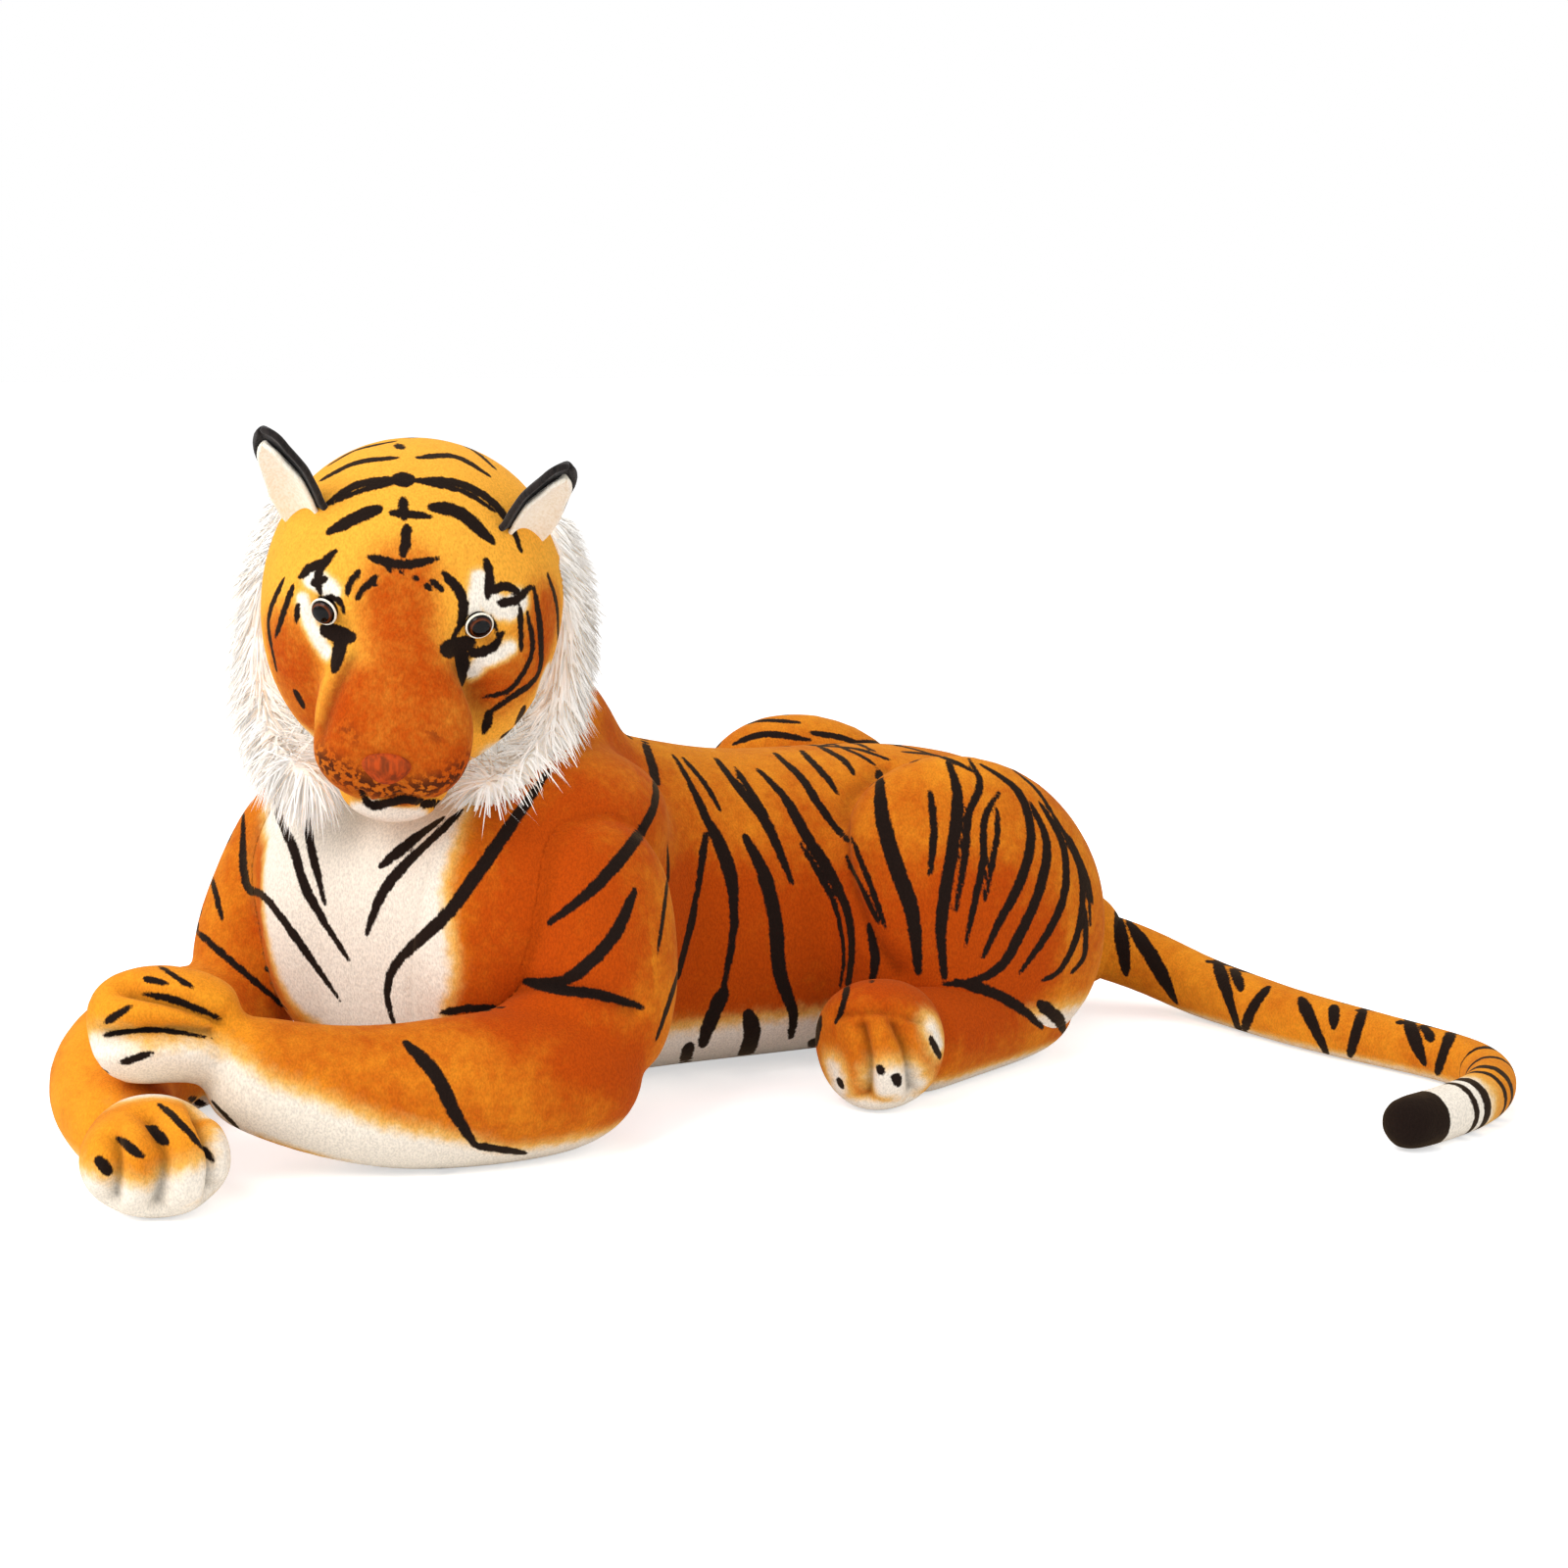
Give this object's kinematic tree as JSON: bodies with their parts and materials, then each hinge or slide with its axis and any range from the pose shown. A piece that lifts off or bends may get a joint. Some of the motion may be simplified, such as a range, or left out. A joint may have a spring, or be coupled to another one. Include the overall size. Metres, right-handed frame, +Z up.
{
  "type": "plush tiger",
  "caption": "Reclining plush tiger with crossed forepaws, a turning head, folding ears, sprung legs and a long tail that swings, lifts and curls.",
  "frame": {"origin": "middle of the flat strip on the underside of the belly, on the floor", "axes": "+Z up, +Y towards the rump, +X to the tiger's left side"},
  "size_m": [0.6421, 0.88, 0.435],
  "materials": {
    "orange_plush": "short orange pile with printed black stripes",
    "white_plush": "short white pile",
    "long_white_pile": "long white pile",
    "muzzle_plush": "short dark orange pile",
    "nose_plush": "close reddish pile",
    "black_plush": "short black pile",
    "fibre_filling": "loose polyester fibre",
    "eye_plastic": "clear dome over a brown iris and a black pupil",
    "washer_plastic": "moulded",
    "whisker_fibre": "drawn monofilament"
  },
  "bodies": {
    "torso": {"torso_skin": "orange_plush", "belly_panel": "white_plush", "chest_bib": "white_plush", "torso_filling": "fibre_filling", "haunch_skin_left": "orange_plush", "haunch_skin_right": "orange_plush", "haunch_filling_left": "fibre_filling", "haunch_filling_right": "fibre_filling"},
    "neck": {"neck": "orange_plush"},
    "head": {"head_skin": "orange_plush", "head_filling": "fibre_filling", "muzzle": "muzzle_plush", "nose_pad": "nose_plush", "lower_jaw": "white_plush", "eye_left": "eye_plastic", "eye_right": "eye_plastic", "eye_washer_left": "washer_plastic", "eye_washer_right": "washer_plastic", "ruff_left": "long_white_pile", "ruff_right": "long_white_pile", "whiskers_left": "whisker_fibre", "whiskers_right": "whisker_fibre"},
    "ear_left": {"ear_back_left": "black_plush", "ear_lining_left": "white_plush"},
    "ear_right": {"ear_back_right": "black_plush", "ear_lining_right": "white_plush"},
    "foreleg_left": {"upper_arm_left": "orange_plush", "forearm_left": "orange_plush", "forepaw_left": "orange_plush"},
    "foreleg_right": {"upper_arm_right": "orange_plush", "forearm_right": "orange_plush", "forepaw_right": "orange_plush"},
    "hind_leg_left": {"hind_shank_left": "orange_plush", "hind_foot_left": "orange_plush"},
    "hind_leg_right": {"hind_shank_right": "orange_plush", "hind_foot_right": "orange_plush"},
    "tail_root": {"tail_root": "orange_plush"},
    "tail": {"tail_upper": "orange_plush"},
    "tail_curl": {"tail_curl": "orange_plush", "tail_tip": "black_plush"}
  },
  "joints": [
    {"name": "head_turn", "type": "hinge", "parent": "torso", "child": "neck", "pos_m": [0.02973, -0.11494, 0.212], "axis": [0, 0, 1], "range_deg": [-20, 20], "stiffness_Nm_per_rad": 1.2},
    {"name": "head_nod", "type": "hinge", "parent": "neck", "child": "head", "pos_m": [0.01324, -0.0852, 0.244], "axis": [-0.3981, -0.9174, 0], "range_deg": [0, 15], "stiffness_Nm_per_rad": 2.5},
    {"name": "ear_left_fold", "type": "hinge", "parent": "head", "child": "ear_left", "pos_m": [0.14573, -0.12697, 0.37037], "axis": [-0.519, 0.7822, -0.3448], "range_deg": [-25, 25], "stiffness_Nm_per_rad": 0.03},
    {"name": "ear_right_fold", "type": "hinge", "parent": "head", "child": "ear_right", "pos_m": [0.09422, -0.24569, 0.38269], "axis": [0.948, 0.2066, 0.2422], "range_deg": [-25, 25], "stiffness_Nm_per_rad": 0.03},
    {"name": "foreleg_left_lift", "type": "hinge", "parent": "torso", "child": "foreleg_left", "pos_m": [0.12415, -0.10376, 0.14], "axis": [-0.8746, -0.4848, 0], "range_deg": [0, 20], "stiffness_Nm_per_rad": 1},
    {"name": "foreleg_right_swing", "type": "hinge", "parent": "torso", "child": "foreleg_right", "pos_m": [-0.06178, -0.13137, 0.14], "axis": [0, 0, -1], "range_deg": [0, 12], "stiffness_Nm_per_rad": 1},
    {"name": "hind_leg_left_swing", "type": "hinge", "parent": "torso", "child": "hind_leg_left", "pos_m": [0.1008, 0.275, 0], "axis": [0, 0, 1], "range_deg": [0, 20], "stiffness_Nm_per_rad": 0.8},
    {"name": "hind_leg_right_swing", "type": "hinge", "parent": "torso", "child": "hind_leg_right", "pos_m": [-0.1008, 0.275, 0], "axis": [0, 0, -1], "range_deg": [0, 20], "stiffness_Nm_per_rad": 0.8},
    {"name": "tail_swing", "type": "hinge", "parent": "torso", "child": "tail_root", "pos_m": [0, 0.352, 0.0515], "axis": [0, 0, 1], "range_deg": [-5, 60], "stiffness_Nm_per_rad": 0.25},
    {"name": "tail_lift", "type": "hinge", "parent": "tail_root", "child": "tail", "pos_m": [0, 0.352, 0.0515], "axis": [0.8386, -0.5448, 0], "range_deg": [0, 40], "stiffness_Nm_per_rad": 0.25},
    {"name": "tail_curl_bend", "type": "hinge", "parent": "tail", "child": "tail_curl", "pos_m": [0.27117, 0.4501, 0.01712], "axis": [0, 0, 1], "range_deg": [-25, 25], "stiffness_Nm_per_rad": 0.12}
  ]
}
